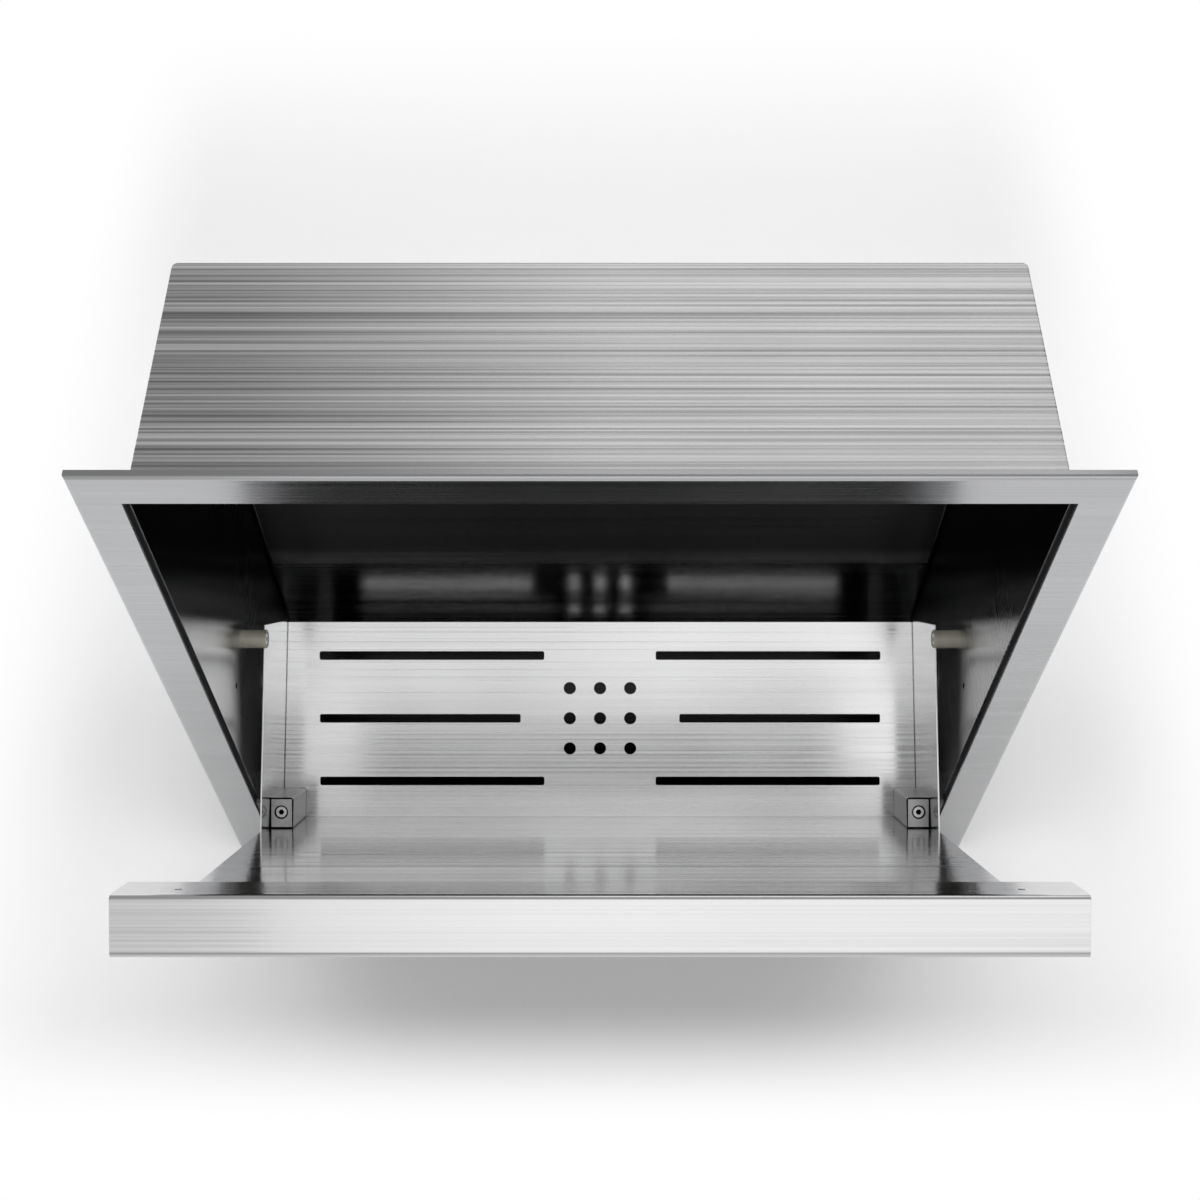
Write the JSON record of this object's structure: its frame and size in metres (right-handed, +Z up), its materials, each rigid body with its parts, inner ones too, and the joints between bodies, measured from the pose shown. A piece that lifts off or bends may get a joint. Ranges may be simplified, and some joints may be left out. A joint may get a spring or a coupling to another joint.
{
  "type": "storage access door",
  "caption": "Built-in steel storage door: flanged frame, sheet liner and a bottom-hinged door that tilts out with a slotted tray.",
  "frame": {"origin": "centre of the cut-out in the wall that the liner goes into, on the plane of the wall", "axes": "+X to the right as seen from the front, +Y into the wall, +Z up"},
  "size_m": [0.61, 0.4333, 0.522],
  "materials": {
    "frame_steel": "brushed along each rail",
    "liner_steel": "coarse horizontal brush",
    "door_steel": "horizontal brush",
    "tray_steel": "horizontal brush",
    "seal_rubber": "matt black",
    "hinge_metal": "satin, dark edges",
    "fastener_steel": "plain bright",
    "bearing_plate": "moulded",
    "bush_plastic": "moulded",
    "stop_clear": "clear, faintly yellow"
  },
  "bodies": {
    "housing": {"face_frame": "frame_steel", "opening_seal": "seal_rubber", "liner_top": "liner_steel", "liner_bottom": "liner_steel", "liner_back": "liner_steel", "liner_rivets": "fastener_steel", "liner_side_left": "liner_steel", "liner_side_right": "liner_steel", "pivot_bearing_left": "bearing_plate", "pivot_bearing_right": "bearing_plate", "pivot_bush_left": "bush_plastic", "pivot_bush_right": "bush_plastic", "bearing_screws": "fastener_steel", "stop_sleeve_left": "stop_clear", "stop_sleeve_right": "stop_clear", "stop_post_left": "fastener_steel", "stop_post_right": "fastener_steel", "stop_nuts": "fastener_steel"},
    "door": {"door_panel": "door_steel", "tray_floor": "tray_steel", "tray_side_left": "tray_steel", "tray_side_right": "tray_steel", "hinge_block_left": "hinge_metal", "hinge_block_right": "hinge_metal", "clamp_screws": "fastener_steel", "fixing_screws_left": "fastener_steel", "fixing_screws_right": "fastener_steel", "pivot_pin_left": "fastener_steel", "pivot_pin_right": "fastener_steel"}
  },
  "joints": [
    {"name": "door_tilt", "type": "hinge", "parent": "housing", "child": "door", "pos_m": [0, 0.0005, -0.19], "axis": [1, 0, 0], "range_deg": [-34.2, 0]}
  ]
}
